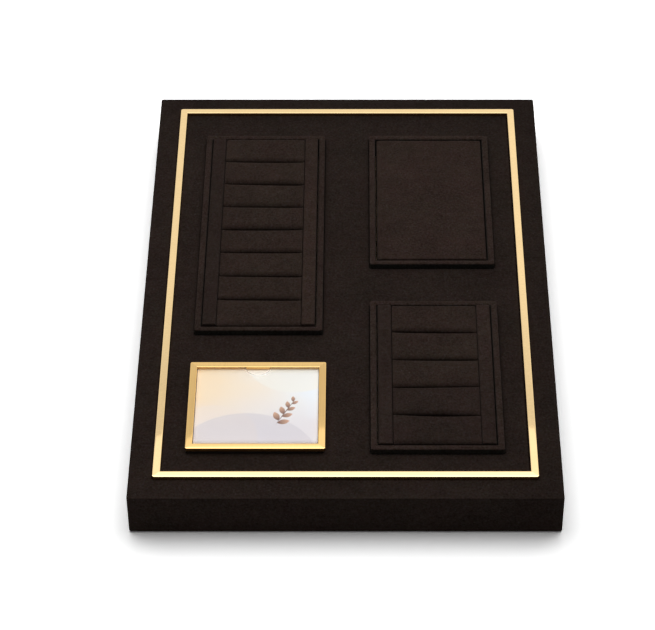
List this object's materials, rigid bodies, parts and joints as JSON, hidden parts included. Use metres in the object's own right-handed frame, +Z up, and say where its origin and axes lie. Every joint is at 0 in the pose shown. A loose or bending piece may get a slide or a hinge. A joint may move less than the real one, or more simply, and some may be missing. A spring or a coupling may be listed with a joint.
{
  "type": "jewelry display stand",
  "caption": "Flat wrapped jewellery display board with a brass border, lift-out ring trays and a pad tray in wells, and a brass picture card holder.",
  "frame": {"origin": "middle of the underside, where the felt rests on the counter", "axes": "+X to the right, +Y to the back, +Z up, seen from the front edge"},
  "size_m": [0.24, 0.352, 0.0319],
  "materials": {
    "microfibre": "dark brown short-nap microfibre suede",
    "felt": "black pressed felt",
    "mdf": "raw MDF",
    "grey_board": "grey bookbinding board",
    "black_board": "black satin board",
    "brass": "polished brass, lacquered",
    "card": "matt printed card in pastel tones",
    "clear_acrylic": "clear cast acrylic"
  },
  "bodies": {
    "base": {"base_fabric_wrap": "microfibre", "base_lower_board": "mdf", "base_upper_board": "mdf", "base_underside_felt": "felt", "brass_border": "brass", "large_ring_well_lining": "microfibre", "small_ring_well_lining": "microfibre", "pad_well_lining": "microfibre", "card_holder_base": "black_board", "card_holder_frame": "brass"},
    "large_ring_tray": {"large_ring_tray_frame": "microfibre", "large_ring_tray_floor": "mdf", "large_ring_insert_board": "grey_board", "large_ring_bar_1": "microfibre", "large_ring_bar_2": "microfibre", "large_ring_bar_3": "microfibre", "large_ring_bar_4": "microfibre", "large_ring_bar_5": "microfibre", "large_ring_bar_6": "microfibre", "large_ring_bar_7": "microfibre", "large_ring_bar_8": "microfibre", "large_ring_end_strip_left": "microfibre", "large_ring_end_strip_right": "microfibre"},
    "small_ring_tray": {"small_ring_tray_frame": "microfibre", "small_ring_tray_floor": "mdf", "small_ring_insert_board": "grey_board", "small_ring_bar_1": "microfibre", "small_ring_bar_2": "microfibre", "small_ring_bar_3": "microfibre", "small_ring_bar_4": "microfibre", "small_ring_bar_5": "microfibre", "small_ring_end_strip_left": "microfibre", "small_ring_end_strip_right": "microfibre"},
    "pad_tray": {"pad_tray_frame": "microfibre", "pad_tray_floor": "mdf", "pad_backing_board": "grey_board", "display_pad": "microfibre"},
    "card": {"picture_card": "card"},
    "cover": {"clear_cover": "clear_acrylic"}
  },
  "joints": [
    {"name": "large_ring_tray_lift", "type": "slide", "parent": "base", "child": "large_ring_tray", "axis": [0, 0, 1], "range_m": [0, 0.018]},
    {"name": "small_ring_tray_lift", "type": "slide", "parent": "base", "child": "small_ring_tray", "axis": [0, 0, 1], "range_m": [0, 0.018]},
    {"name": "pad_tray_lift", "type": "slide", "parent": "base", "child": "pad_tray", "axis": [0, 0, 1], "range_m": [0, 0.018]},
    {"name": "card_lift", "type": "slide", "parent": "base", "child": "card", "axis": [0, 0, 1], "range_m": [0, 0.006]},
    {"name": "cover_lift", "type": "slide", "parent": "card", "child": "cover", "axis": [0, 0, 1], "range_m": [0, 0.006]}
  ]
}
